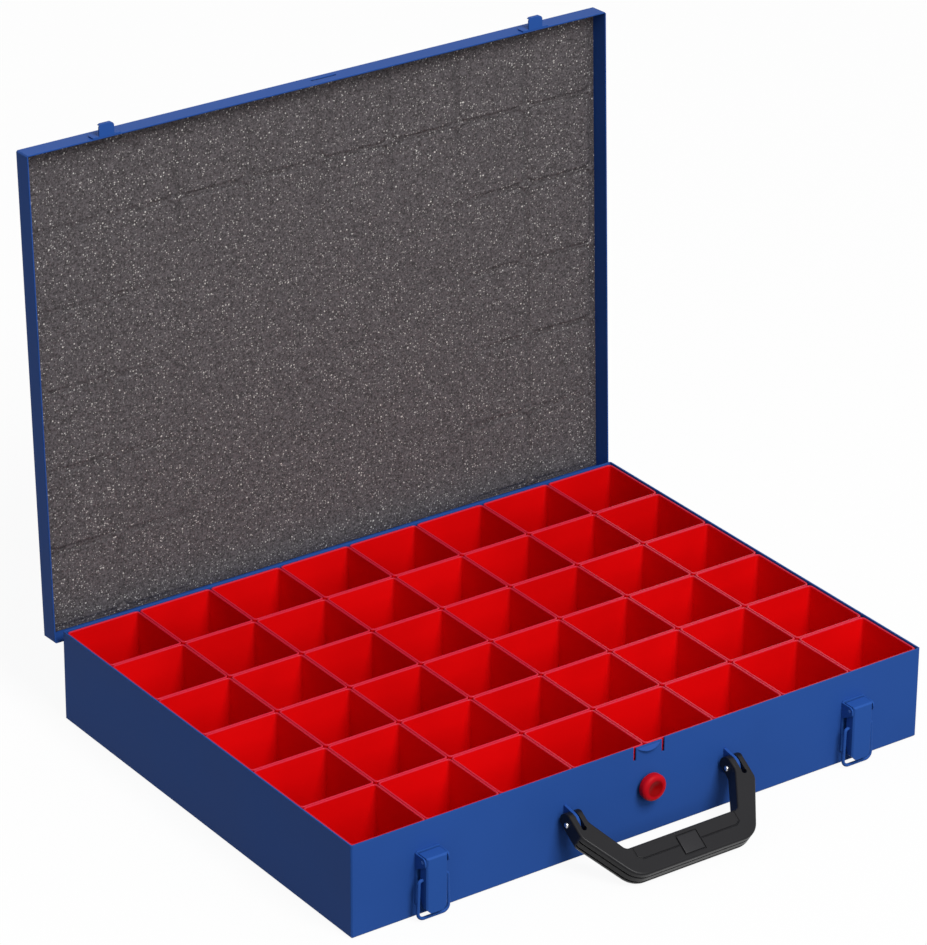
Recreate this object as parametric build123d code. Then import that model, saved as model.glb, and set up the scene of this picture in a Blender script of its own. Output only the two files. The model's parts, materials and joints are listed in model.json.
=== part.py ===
"""Sheet-steel storage box with 48 loose plastic inserts, shown open with its lid resting on its stop.

Millimetres. X runs to the right along the front, Y towards the hinge, Z up.
The origin is the centre of the tray's underside.
The lid's pieces are drawn on the closed case and then swung open about the hinge.
The handle's pieces are drawn hanging straight down and then swung out to where the grip rests.
"""
import math
import os

from build123d import *

# loose inserts in a square raster
insert_columns = 8
insert_rows = 6
insert_pitch = 54.0
insert_gap = 0.4
insert_height = 61.7
insert_wall = 1.3
insert_floor = 1.4
insert_draft = 2.0
insert_corner = 1.7
insert_inner_corner = 0.6

# tray, a pan of folded sheet, as large as the inserts need
tray_sheet = 1.0
tray_bend = 1.5
tray_side_room = 0.5
tray_end_room = 0.7
tray_rim_above_inserts = 0.8

# lid, a shallow flanged pan that closes over the tray
lid_side_gap = 1.9
lid_end_gap = 1.0
lid_flange = 14.0
lid_sheet = 0.8
lid_bend = 1.5
lid_open_angle = 92.4
foam_thickness = 1.5
foam_clearance = 0.4
foam_edge_gap = 0.5

# hinge along the back edge
hinge_behind_wall = 3.83
hinge_below_flange = 1.5
hinge_end_margin = 10.3
hinge_knuckles = 5
hinge_knuckle_gap = 0.3
hinge_knuckle_radius = 2.1
hinge_pin_radius = 1.1
hinge_leaf_sheet = 0.8
hinge_case_leaf_height = 12.0
hinge_lid_leaf_height = 9.0

# snap lock on the front edge: sprung tongue, its lug, the lid's slot and the push button
lock_x = 2.0
tongue_width = 19.7
tongue_slit = 2.0
tongue_depth = 9.5
tongue_drop = 0.8
lug_chord = 18.5
lug_height = 2.9
lug_reach = 2.1
slot_clearance = 0.35
button_z = 34.7
button_radius = 9.0
button_face_out = 8.0
button_crest_radius = 6.4
button_dish_depth = 1.5
button_travel = 1.8
button_spare = 0.8
cap_wall = 1.6
cap_roof = 1.2
collar_radius = 6.4
collar_bore_radius = 3.2
collar_floor = 0.4
collar_lip = 1.2
stem_radius = 2.4
stem_foot = 0.9
spring_room = 0.6
slide_clearance = 0.06

# toggle latches on the front wall
latch_from_side = 54.3
latch_sheet = 1.0
lever_width = 15.2
lever_top_z = 44.2
lever_bottom_z = 5.9
lever_face_out = 11.0
lever_back_out = 4.0
lever_hood_out = 2.1
lever_edge_radius = 1.6
lever_corner_cut = 3.2
lever_pivot_z = 41.2
lever_pivot_out = 8.0
lever_pin_radius = 1.2
bail_pivot_z = 28.0
bail_pivot_out = 6.6
bail_play = 0.2
bail_wire_radius = 1.1
bail_splay = 0.8
bail_corner_radius = 4.2
bail_end_radius = 1.9
bail_end_length = 1.0
bend_runs = 3
ear_clearance = 0.35
ear_height = 11.0
base_top_z = 44.9
base_height = 36.3
rivet_radius = 1.5
rivet_head_radius = 2.4
rivet_head_height = 0.9
rivet_spacing = 11.0

# strikes on the lid that the bails hook over
strike_width = 11.0
strike_sheet = 0.9
strike_reach = 8.6
strike_lip = 1.9
strike_plate_height = 8.2
strike_plate_margin = 4.5
strike_corner = 2.4

# folding handle
pivot_out = 9.1
pivot_z = 32.4
handle_rest_angle = 56.2
fork_centre_x = 61.3
fork_width = 10.6
handle_thickness = 14.5
grip_inner = 29.5
grip_outer = 49.6
grip_half_inner = 42.6
grip_half_outer = 44.9
fork_straight_inner = 5.0
fork_straight_outer = 13.9
grip_outer_radius = 15.0
grip_inner_radius = 4.0
fork_blend_radius = 8.0
grip_back_cut = 2.6
grip_front_cut = 0.8
grip_bend_runs = 3
fork_slot_depth = 7.9
bracket_sheet = 2.0
bracket_clearance = 0.35
bracket_nose_radius = 6.0
bracket_half_height = 8.5
bracket_foot_width = 22.0
bracket_foot_height = 20.0
bracket_foot_sheet = 0.8
handle_pin_radius = 1.7
handle_pin_proud = 0.7
groove_depth = 1.1
groove_width = 1.3
groove_offset = 2.6
groove_end_room = 14.0
panel_line_width = 0.8
panel_line_depth = 0.5
panel_margin = 3.4
panel_corner = 3.4
panel_width = 10.0
pad_length = 15.0
pad_width = 13.0
pad_height = 0.35

# clearance of a turning pin in its hole
pin_clearance = 0.05

# places that follow from the sizes above
insert_size = insert_pitch - insert_gap
tray_width = insert_columns * insert_pitch - insert_gap + 2 * (tray_side_room + tray_sheet)
tray_depth = insert_rows * insert_pitch - insert_gap + 2 * (tray_end_room + tray_sheet)
tray_height = tray_sheet + insert_height + tray_rim_above_inserts
lid_width = tray_width + 2 * (lid_side_gap + lid_sheet)
lid_depth = tray_depth + 2 * (lid_end_gap + lid_sheet)
wall_y = tray_depth / 2
front_y = -wall_y
closed_height = tray_height + foam_clearance + foam_thickness + lid_sheet
flange_low_z = closed_height - lid_flange
lid_face_y = lid_depth / 2
hinge_length = tray_width - 2 * hinge_end_margin
hinge_y = wall_y + hinge_behind_wall
hinge_z = flange_low_z - hinge_below_flange
hinge_axis = Axis((0, hinge_y, hinge_z), (1, 0, 0))
handle_axis = Axis((0, front_y - pivot_out, pivot_z), (1, 0, 0))
tongue_top_z = tray_height - tongue_drop
lug_top_z = tongue_top_z - tongue_drop
lug_low_z = lug_top_z - lug_height
latch_x = tray_width / 2 - latch_from_side
bail_length = flange_low_z + strike_sheet + bail_play + bail_wire_radius - bail_pivot_z


def out(distance):
    """Y of a point that lies this far in front of the front wall."""
    return front_y - distance


def block(low, high):
    """Box between two corners."""
    size = [b - a for a, b in zip(low, high)]
    centre = [(a + b) / 2 for a, b in zip(low, high)]
    return Pos(*centre) * Box(*size)


def side_profile(points, x_low, x_high):
    """Solid between two X positions whose outline is a list of (y, z) points."""
    outline = Plane.YZ.offset(x_low) * make_face(Polyline(*points, close=True))
    return extrude(outline, amount=x_high - x_low)


def rod_x(y, z, radius, x_low, x_high):
    """Round rod along X."""
    return Pos((x_low + x_high) / 2, y, z) * Rot(0, 90, 0) * Cylinder(radius, x_high - x_low)


def swung_open(piece):
    """A piece of the closed lid, moved to where the open lid rests."""
    return piece.rotate(hinge_axis, -lid_open_angle)


def bent(points, radii, runs):
    """Points along a line in one plane whose bends are rounded by a few short straight runs."""
    line = [Vector(*points[0])]
    corners = [Vector(*point) for point in points]
    for before, corner, after, radius in zip(corners, corners[1:], corners[2:], radii):
        arrive = (corner - before).normalized()
        leave = (after - corner).normalized()
        turn = math.radians(arrive.get_angle(leave))
        start = corner - arrive * (radius * math.tan(turn / 2))
        end = corner + leave * (radius * math.tan(turn / 2))
        centre = corner + (leave - arrive).normalized() * (radius / math.cos(turn / 2))
        for step in range(runs + 1):
            share = step / runs
            aim = (start - centre) * math.sin((1 - share) * turn) + (end - centre) * math.sin(share * turn)
            line.append(centre + aim / math.sin(turn))
    line.append(corners[-1])
    return line


def case_tray():
    """Tray with the tongue cut into its front edge, the lug on it, and the holes of what it carries."""
    shell = block((-tray_width / 2, front_y, 0), (tray_width / 2, wall_y, tray_height))
    shell = chamfer(shell.edges().filter_by(Axis.Z), 0.6 * tray_bend)
    shell = chamfer(shell.faces().sort_by(Axis.Z)[0].edges(), 0.6 * tray_bend)
    inner_x = tray_width / 2 - tray_sheet
    inner_y = wall_y - tray_sheet
    hollow = block((-inner_x, -inner_y, tray_sheet), (inner_x, inner_y, tray_height + 1))
    shell -= hollow

    slit_x = (tongue_width + tongue_slit) / 2
    for side in (-1, 1):
        x = lock_x + side * slit_x
        shell -= block(
            (x - tongue_slit / 2, front_y - 1, tray_height - tongue_depth),
            (x + tongue_slit / 2, front_y + tray_sheet + 0.1, tray_height + 1),
        )
    shell -= block(
        (lock_x - slit_x, front_y - 1, tongue_top_z),
        (lock_x + slit_x, front_y + tray_sheet + 0.1, tray_height + 1),
    )
    shell += lock_lug()

    shell -= wall_hole(lock_x, button_z, collar_radius - 1.0)
    for side in (-1, 1):
        for z in rivet_heights():
            shell -= wall_hole(side * latch_x, z, rivet_radius)
        x = side * fork_centre_x
        half = bracket_sheet / 2
        shell -= block(
            (x - half, front_y - 1, pivot_z - bracket_half_height),
            (x + half, front_y + tray_sheet + 0.1, pivot_z + bracket_half_height),
        )
    return shell


def wall_hole(x, z, radius):
    """Drill for a round hole through the front wall."""
    return Pos(x, front_y + tray_sheet / 2, z) * Rot(90, 0, 0) * Cylinder(radius, 3 * tray_sheet)


def lock_lug():
    """Half-moon lug: it slopes out from the tongue's top and ends in a sharp round edge below."""
    radius = ((lug_chord / 2) ** 2 + lug_height**2) / (2 * lug_height)
    disc = Pos(lock_x, front_y - lug_reach / 2, lug_low_z + radius) * Rot(90, 0, 0)
    disc *= Cylinder(radius, lug_reach)
    wedge = side_profile(
        [(front_y, lug_top_z), (front_y, lug_low_z - 1), (out(lug_reach), lug_low_z - 1), (out(lug_reach), lug_low_z)],
        lock_x - lug_chord,
        lock_x + lug_chord,
    )
    return disc & wedge


def rivet_heights():
    """Heights of the two rivets of a latch base, low enough to stay under the lever."""
    lowest = base_top_z - base_height + rivet_head_radius + 1.0
    return lowest, lowest + rivet_spacing


def square_with_cut_corners(size, cut, z):
    """Corner points of a square whose corners are cut off, at a height."""
    half = size / 2
    short = half - cut
    points = [(half, -short), (half, short), (short, half), (-short, half)]
    points += [(-x, -y) for x, y in points]
    return [(x, y, z) for x, y in points]


def frustum(low, high):
    """Solid with flat sides between two rings of corner points."""
    rings = [low, high]
    count = len(low)
    for index in range(count):
        after = (index + 1) % count
        rings.append([low[index], low[after], high[after], high[index]])
    return Solid(Shell([make_face(Polyline(*ring, close=True)) for ring in rings]))


def insert():
    """One tapered insert: its corners cut outside and inside, standing on its own floor."""
    slope = math.tan(math.radians(insert_draft))
    cut_growth = 2 - math.sqrt(2)
    draw_in = insert_height * slope
    foot = square_with_cut_corners(insert_size - 2 * draw_in, insert_corner - cut_growth * draw_in, 0)
    body = frustum(foot, square_with_cut_corners(insert_size, insert_corner, insert_height))
    mouth = insert_size - 2 * insert_wall
    above = 1.0
    low_in = (insert_height - insert_floor) * slope
    floor = square_with_cut_corners(mouth - 2 * low_in, insert_inner_corner, insert_floor)
    open_cut = insert_inner_corner + cut_growth * (low_in + above * slope)
    opening = square_with_cut_corners(mouth + 2 * above * slope, open_cut, insert_height + above)
    return body - frustum(floor, opening)


def insert_row(row, one):
    """The inserts of one row, counted from the front."""
    y = (row - (insert_rows - 1) / 2) * insert_pitch
    columns = [(column - (insert_columns - 1) / 2) * insert_pitch for column in range(insert_columns)]
    return Compound([one.moved(Location((x, y, tray_sheet))) for x in columns])


def lid_pan():
    """Lid with its flange all round and the slot that the lug snaps into."""
    half_x = lid_width / 2
    shell = block((-half_x, -lid_face_y, flange_low_z), (half_x, lid_face_y, closed_height))
    shell = chamfer(shell.edges().filter_by(Axis.Z), 0.6 * lid_bend)
    shell = chamfer(shell.faces().sort_by(Axis.Z)[-1].edges(), 0.6 * lid_bend)
    inner_x = half_x - lid_sheet
    inner_y = lid_face_y - lid_sheet
    shell -= block((-inner_x, -inner_y, flange_low_z - 1), (inner_x, inner_y, closed_height - lid_sheet))
    flange_gap = lid_face_y - lid_sheet - wall_y
    sunk = lug_height * (flange_gap - slot_clearance) / lug_reach
    half_slot = lug_chord / 2 + slot_clearance
    shell -= block(
        (lock_x - half_slot, -lid_face_y - 1, lug_low_z - slot_clearance),
        (lock_x + half_slot, -inner_y + 0.1, lug_top_z - sunk),
    )
    return swung_open(shell)


def lid_foam_liner():
    """Thin foam sheet stuck inside the lid."""
    half_x = lid_width / 2 - lid_sheet - foam_edge_gap
    half_y = lid_face_y - lid_sheet - foam_edge_gap
    top = closed_height - lid_sheet
    return swung_open(block((-half_x, -half_y, top - foam_thickness), (half_x, half_y, top)))


def knuckle_spans(first):
    """Start and end of every second knuckle along the hinge."""
    pitch = hinge_length / hinge_knuckles
    starts = [-hinge_length / 2 + index * pitch for index in range(first, hinge_knuckles, 2)]
    return [(x + hinge_knuckle_gap / 2, x + pitch - hinge_knuckle_gap / 2) for x in starts]


def hinge_leaf(plate, neck, first):
    """A leaf with its knuckles, from the outlines of its plate and of the neck up to a knuckle."""
    leaf = side_profile(plate, -hinge_length / 2, hinge_length / 2)
    for low, high in knuckle_spans(first):
        knuckle = rod_x(hinge_y, hinge_z, hinge_knuckle_radius, low, high)
        leaf += knuckle + side_profile(neck, low, high)
    bore = hinge_pin_radius + pin_clearance
    return leaf - rod_x(hinge_y, hinge_z, bore, -hinge_length, hinge_length)


def hinge_leaf_case():
    """Leaf on the tray's back wall, its neck leaning out to the knuckles."""
    near = wall_y
    far = wall_y + hinge_leaf_sheet
    top = hinge_z - 2.7 * hinge_knuckle_radius
    plate = [(near, top), (far, top), (far, top - hinge_case_leaf_height), (near, top - hinge_case_leaf_height)]
    neck = [
        (near, top),
        (far, top - 0.5 * hinge_leaf_sheet),
        (hinge_y + 0.13 * hinge_knuckle_radius, hinge_z - 0.97 * hinge_knuckle_radius),
        (hinge_y - 0.63 * hinge_knuckle_radius, hinge_z - 0.71 * hinge_knuckle_radius),
    ]
    return hinge_leaf(plate, neck, 0)


def hinge_leaf_lid():
    """Leaf on the lid's back flange, its neck bending down to the knuckles."""
    near = lid_face_y
    far = lid_face_y + hinge_leaf_sheet
    low = hinge_z + 1.7 * hinge_knuckle_radius
    plate = [(near, low), (far, low), (far, low + hinge_lid_leaf_height), (near, low + hinge_lid_leaf_height)]
    neck = [
        (near, low),
        (far, low + 0.5 * hinge_leaf_sheet),
        (hinge_y + 0.41 * hinge_knuckle_radius, hinge_z + 0.88 * hinge_knuckle_radius),
        (hinge_y - 0.35 * hinge_knuckle_radius, hinge_z + 0.88 * hinge_knuckle_radius),
    ]
    return swung_open(hinge_leaf(plate, neck, 1))


def hinge_pin():
    """Wire pin through all the knuckles."""
    return rod_x(hinge_y, hinge_z, hinge_pin_radius, -hinge_length / 2, hinge_length / 2)


def lid_strike(side):
    """Strike on the lid's front flange: a wide plate, a round-cornered shelf, and a low lip at its end."""
    x = side * latch_x
    half = strike_width / 2
    face = -lid_face_y
    end = face - strike_reach
    low = flange_low_z
    wide = half + strike_plate_margin
    plate = block((x - wide, face - strike_sheet, low), (x + wide, face, low + strike_plate_height))
    shelf = block((x - half, end, low), (x + half, face, low + strike_sheet))
    lip = block((x - half, end, low), (x + half, end + strike_sheet, low + strike_sheet + strike_lip))
    rounded = block((x - half, end, low), (x + half, face, low + strike_sheet + strike_lip))
    rounded = fillet(rounded.edges().filter_by(Axis.Z).sort_by(Axis.Y)[:2], strike_corner)
    tab = (shelf + lip) & rounded
    top_corners = plate.edges().filter_by(Axis.Y).group_by(Axis.Z)[-1]
    plate = chamfer(top_corners, strike_corner)
    return swung_open(plate + tab)


def latch_base(side):
    """Base plate with two ears folded out, which hold the lever's pin."""
    x = side * latch_x
    inner = lever_width / 2 + ear_clearance
    outer = inner + latch_sheet
    bottom = base_top_z - base_height
    plate = block((x - outer, out(latch_sheet), bottom), (x + outer, front_y, base_top_z))
    plate = chamfer(plate.edges().filter_by(Axis.Y), latch_sheet)
    nose = lever_pin_radius + 1.6
    nose_out = out(lever_pivot_out + nose)
    ear = [
        (out(latch_sheet / 2), base_top_z - latch_sheet),
        (nose_out, lever_pivot_z + nose),
        (nose_out, lever_pivot_z - nose),
        (out(latch_sheet / 2), base_top_z - ear_height - latch_sheet),
    ]
    base = plate
    for low in (x - outer, x + inner):
        base += side_profile(bent(ear, [nose, nose], bend_runs), low, low + latch_sheet)
    base -= rod_x(out(lever_pivot_out), lever_pivot_z, lever_pin_radius, x - outer - 1, x + outer + 1)
    for z in rivet_heights():
        base -= Pos(x, front_y, z) * Rot(90, 0, 0) * Cylinder(rivet_radius, 4 * latch_sheet)
    return base


def latch_pin(side):
    """Pin through the ears, flush with their outer faces so that the bail passes it."""
    x = side * latch_x
    reach = lever_width / 2 + ear_clearance + latch_sheet
    return rod_x(out(lever_pivot_out), lever_pivot_z, lever_pin_radius, x - reach, x + reach)


def latch_rivets():
    """Rivets that hold both latch bases on the front wall."""
    rivets = []
    for side in (-1, 1):
        for z in rivet_heights():
            place = Pos(side * latch_x, front_y, z) * Rot(90, 0, 0)
            length = latch_sheet + tray_sheet
            shank = Pos(0, 0, (latch_sheet - tray_sheet) / 2) * Cylinder(rivet_radius, length)
            head = Pos(0, 0, latch_sheet + rivet_head_height / 2)
            head *= Cylinder(rivet_head_radius, rivet_head_height)
            rivets.append(place * (shank + head))
    return Compound(rivets)


def latch_lever(side):
    """Pressed lever: a front plate with cut lower corners, a hood over the top, and sides turned in."""
    x = side * latch_x
    half = lever_width / 2
    face = out(lever_face_out)
    inner_face = out(lever_face_out - latch_sheet)
    back = out(lever_back_out)
    bend_z = bail_pivot_z - 3.5
    tip = out(lever_face_out - 3.0)
    profile = [
        (face, lever_top_z),
        (face, lever_bottom_z),
        (tip, lever_bottom_z),
        (back, bend_z - 8.0),
        (back, lever_top_z - 2 * latch_sheet),
        (out(lever_hood_out), lever_top_z - latch_sheet),
        (out(lever_hood_out), lever_top_z),
    ]
    shell = side_profile(profile, x - half, x + half)
    front_edges = shell.edges().filter_by(Axis.Z).sort_by(Axis.Y)[:2]
    top_edge = shell.edges().filter_by(Axis.X).group_by(Axis.Z)[-1].sort_by(Axis.Y)[:1]
    shell = chamfer(front_edges + top_edge, lever_edge_radius * 0.6)
    hollow = block(
        (x - half + latch_sheet, inner_face, lever_bottom_z - 1),
        (x + half - latch_sheet, front_y, lever_top_z - latch_sheet),
    )
    shell -= hollow
    cut = lever_corner_cut * math.sqrt(2)
    for edge in (-1, 1):
        corner = Pos(x + edge * half, (face + tip) / 2, lever_bottom_z) * Rot(0, 45, 0)
        shell -= corner * Box(cut, 12, cut)
    shell -= rod_x(
        out(lever_pivot_out), lever_pivot_z, lever_pin_radius + pin_clearance, x - half - 1, x + half + 1
    )
    shell -= rod_x(
        out(bail_pivot_out), bail_pivot_z, bail_wire_radius + pin_clearance, x - half - 1, x + half + 1
    )
    return shell


def latch_bail(side):
    """Wire bail: its ends turn in through the lever's sides, and its legs spread a little to the loop."""
    x = side * latch_x
    y = out(bail_pivot_out)
    leg = lever_width / 2 + ear_clearance + latch_sheet + ear_clearance + bail_wire_radius
    end = lever_width / 2 - latch_sheet - bail_end_length
    foot = leg + bail_splay
    low = bail_pivot_z - bail_length
    points = [
        (x - end, y, bail_pivot_z),
        (x - leg, y, bail_pivot_z),
        (x - foot, y, low),
        (x + foot, y, low),
        (x + leg, y, bail_pivot_z),
        (x + end, y, bail_pivot_z),
    ]
    radii = [bail_end_radius, bail_corner_radius, bail_corner_radius, bail_end_radius]
    path = Polyline(*bent(points, radii, bend_runs))
    section = Plane(path @ 0, z_dir=path % 0) * RegularPolygon(bail_wire_radius, 12)
    wire = sweep(section, path=path, transition=Transition.RIGHT)
    for edge in (-1, 1):
        low, high = sorted((x + edge * end, x + edge * (leg - bail_end_radius)))
        wire += rod_x(y, bail_pivot_z, bail_wire_radius, low, high)
    return wire


def button_spin(points):
    """Solid of revolution about the button's axis, from (radius, distance in front of the wall) points."""
    outline = make_face(Polyline(*points, close=True))
    turned = revolve(outline, Axis.Y)
    return Pos(lock_x, front_y, button_z) * Rot(180, 0, 0) * turned


def button_levels():
    """Distances in front of the wall of the cap's rim, the collar's top, and the stem's foot."""
    rim = button_travel + button_spare
    roof = button_face_out - button_dish_depth - cap_roof
    collar_top = roof - button_travel - slide_clearance
    foot_top = collar_top - collar_lip - slide_clearance
    return rim, roof, collar_top, foot_top


def push_button():
    """Cap with a thick round rim about a wide dish, open behind, on a stem held under the collar's lip."""
    rim, roof, _, foot_top = button_levels()
    inner = button_radius - cap_wall
    crest = button_crest_radius
    face = button_face_out
    return button_spin(
        [
            (0, foot_top - stem_foot),
            (collar_bore_radius - slide_clearance, foot_top - stem_foot),
            (collar_bore_radius - slide_clearance, foot_top),
            (stem_radius, foot_top),
            (stem_radius, roof),
            (inner, roof),
            (inner, rim),
            (button_radius, rim),
            (button_radius, face - 0.75 * (button_radius - crest)),
            (crest + 0.4 * (button_radius - crest), face),
            (0.85 * crest, face - 0.2 * button_dish_depth),
            (0.4 * crest, face - button_dish_depth),
            (0, face - button_dish_depth),
        ]
    )


def button_collar():
    """Collar pressed into the front wall, with a lip that holds the stem and a floor for the spring."""
    _, _, collar_top, _ = button_levels()
    seat = collar_radius - 1.0
    bore = collar_bore_radius
    throat = stem_radius + slide_clearance
    return button_spin(
        [
            (0, -tray_sheet),
            (seat, -tray_sheet),
            (seat, 0),
            (collar_radius, 0),
            (collar_radius, collar_top),
            (throat, collar_top),
            (throat, collar_top - collar_lip),
            (bore, collar_top - collar_lip),
            (bore, -tray_sheet + collar_floor),
            (0, -tray_sheet + collar_floor),
        ]
    )


def button_spring():
    """Springy plug between the collar's floor and the stem's foot."""
    _, _, _, foot_top = button_levels()
    low = -tray_sheet + collar_floor
    high = foot_top - stem_foot
    radius = collar_bore_radius - spring_room
    return button_spin([(0, low), (radius, low), (radius, high), (0, high)])


def handle_bracket(side):
    """Thin lug that stands out through the front wall, on a foot welded inside."""
    x = side * fork_centre_x
    half = bracket_sheet / 2
    y = out(pivot_out)
    inside = front_y + tray_sheet
    nose = bracket_nose_radius
    lug = [
        (front_y, pivot_z + bracket_half_height),
        (y - nose, pivot_z + nose),
        (y - nose, pivot_z - nose),
        (front_y, pivot_z - bracket_half_height),
    ]
    rounded = bent(lug, [nose, nose], bend_runs)
    rounded += [Vector(inside, pivot_z - bracket_half_height), Vector(inside, pivot_z + bracket_half_height)]
    web = side_profile(rounded, x - half, x + half)
    foot = block(
        (x - bracket_foot_width / 2, inside, pivot_z - bracket_foot_height / 2),
        (x + bracket_foot_width / 2, inside + bracket_foot_sheet, pivot_z + bracket_foot_height / 2),
    )
    bore = rod_x(y, pivot_z, handle_pin_radius + pin_clearance, x - half - 1, x + half + 1)
    return web + foot - bore


def handle_outline():
    """Outline of the grip as seen from the front while it hangs: fork, arm and grip, then back inside."""
    fork_outer = fork_centre_x + fork_width / 2
    fork_inner = fork_centre_x - fork_width / 2
    top = handle_thickness
    outer = [
        (fork_outer, top, 0),
        (fork_outer, -fork_straight_outer, 0),
        (grip_half_outer, -grip_outer, 0),
        (-grip_half_outer, -grip_outer, 0),
        (-fork_outer, -fork_straight_outer, 0),
        (-fork_outer, top, 0),
    ]
    inner = [
        (-fork_inner, top, 0),
        (-fork_inner, -fork_straight_inner, 0),
        (-grip_half_inner, -grip_inner, 0),
        (grip_half_inner, -grip_inner, 0),
        (fork_inner, -fork_straight_inner, 0),
        (fork_inner, top, 0),
    ]
    outer_bends = [fork_blend_radius, grip_outer_radius, grip_outer_radius, fork_blend_radius]
    inner_bends = [fork_blend_radius, grip_inner_radius, grip_inner_radius, fork_blend_radius]
    line = bent(outer, outer_bends, grip_bend_runs) + bent(inner, inner_bends, grip_bend_runs)
    return make_face(Polyline(*line, close=True))


def handle_slab(face, low, high):
    """Slab with the outline in face between two distances in front of the handle's pivot plane."""
    plane = Plane(origin=(0, out(pivot_out) - low, pivot_z), x_dir=(1, 0, 0), z_dir=(0, -1, 0))
    return extrude(plane * face, amount=high - low)


def handle_grip():
    """Moulded grip with forked ends, grooved outer sides, a line around its panel and a plain raised pad."""
    half = handle_thickness / 2
    face = handle_outline()
    body = handle_slab(face, -half, half)
    body = chamfer(body.faces().sort_by(Axis.Y)[-1].edges(), grip_back_cut)
    body = chamfer(body.faces().sort_by(Axis.Y)[0].edges(), grip_front_cut)
    y = out(pivot_out)
    eyes = rod_x(y, pivot_z, half, -tray_width, tray_width)
    below = block((-tray_width, y - half, pivot_z - 2 * grip_outer), (tray_width, y + half, pivot_z))
    body = body & (eyes + below)

    core = handle_slab(offset(face, -groove_depth), -half, half)
    for level in (-groove_offset, groove_offset):
        band = handle_slab(face, level - groove_width / 2, level + groove_width / 2) - core
        reach = pivot_z - fork_straight_outer
        keep = block(
            (-tray_width, y - half, pivot_z - 2 * grip_outer), (tray_width, y + half, reach)
        )
        opening = block(
            (-grip_half_inner - groove_end_room, y - half, pivot_z - grip_inner - groove_depth - 0.5),
            (grip_half_inner + groove_end_room, y + half, pivot_z + half),
        )
        body -= (band & keep) - opening

    panel_low = -grip_inner - panel_width
    corner_x = grip_half_inner - panel_margin
    turn_x = corner_x - panel_corner
    middle = make_face(
        Polyline(
            (-corner_x, -grip_inner),
            (-corner_x, panel_low + 0.6 * panel_corner),
            (-turn_x, panel_low),
            (turn_x, panel_low),
            (corner_x, panel_low + 0.6 * panel_corner),
            (corner_x, -grip_inner),
            close=True,
        )
    )
    line = middle - offset(middle, -panel_line_width)
    line -= Pos(0, -grip_inner) * Rectangle(2 * corner_x - 2 * panel_line_width, 2.2 * panel_line_width)
    body -= handle_slab(line, half - panel_line_depth, half + 1)
    pad_centre = -(grip_inner + grip_outer) / 2
    pad = Pos(0, pad_centre) * RectangleRounded(pad_length, pad_width, 1.0)
    body += handle_slab(pad, half - 1.0, half + pad_height)

    for side in (-1, 1):
        x = side * fork_centre_x
        gap = bracket_sheet / 2 + bracket_clearance
        body -= block((x - gap, y - half - 1, pivot_z - fork_slot_depth), (x + gap, y + half + 1, pivot_z + half + 1))
        body -= Pos(x, y, pivot_z - fork_slot_depth) * Rot(90, 0, 0) * Cylinder(gap + 0.4, handle_thickness + 2)
        body -= rod_x(y, pivot_z, handle_pin_radius, x - fork_width, x + fork_width)
    return body.rotate(handle_axis, -handle_rest_angle)


def handle_pin(side):
    """Bright steel pin through the fork and the bracket's lug."""
    x = side * fork_centre_x
    reach = fork_width / 2 + handle_pin_proud
    return rod_x(out(pivot_out), pivot_z, handle_pin_radius, x - reach, x + reach)


def all_pieces():
    """Every node's name with its shape."""
    pieces = {
        "case_tray": case_tray(),
        "hinge_leaf_case": hinge_leaf_case(),
        "hinge_pin": hinge_pin(),
        "latch_rivets": latch_rivets(),
        "button_collar": button_collar(),
        "button_spring": button_spring(),
        "push_button": push_button(),
        "lid_pan": lid_pan(),
        "lid_foam_liner": lid_foam_liner(),
        "hinge_leaf_lid": hinge_leaf_lid(),
        "handle_grip": handle_grip(),
    }
    for name, side in (("left", -1), ("right", 1)):
        pieces[f"handle_bracket_{name}"] = handle_bracket(side)
        pieces[f"handle_pin_{name}"] = handle_pin(side)
        pieces[f"latch_base_{name}"] = latch_base(side)
        pieces[f"latch_pin_{name}"] = latch_pin(side)
        pieces[f"latch_lever_{name}"] = latch_lever(side)
        pieces[f"latch_bail_{name}"] = latch_bail(side)
        pieces[f"lid_strike_{name}"] = lid_strike(side)
    one = insert()
    for row in range(insert_rows):
        pieces[f"insert_row_{row + 1}"] = insert_row(row, one)
    return pieces


os.makedirs("parts", exist_ok=True)
for node, shape in all_pieces().items():
    export_step(shape, f"parts/{node}.step")
print("hinge axis", round(hinge_y, 3), round(hinge_z, 3), "closed height", closed_height)
print("handle axis", round(out(pivot_out), 3), pivot_z)
print("lever axis", out(lever_pivot_out), lever_pivot_z, "bail axis", out(bail_pivot_out), bail_pivot_z)
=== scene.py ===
# %% [markdown]
# # A steel storage case, dressed for its picture
# The object is a flat case of folded sheet steel, open, with 48 loose plastic inserts inside. The packed
# CAD model gives every rigid piece at its real size and place. This lesson adds the camera, the finishes,
# the light, and the pieces whose look needs a finer mesh than the CAD model has. Everything is in metres,
# in the frame of the model: X to the right, Y towards the hinge, Z up. Only the finer pieces are drawn in
# millimetres and scaled once they are whole.

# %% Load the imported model
import json
import math

import bmesh
import bpy
from mathutils import Matrix, Vector


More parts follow.
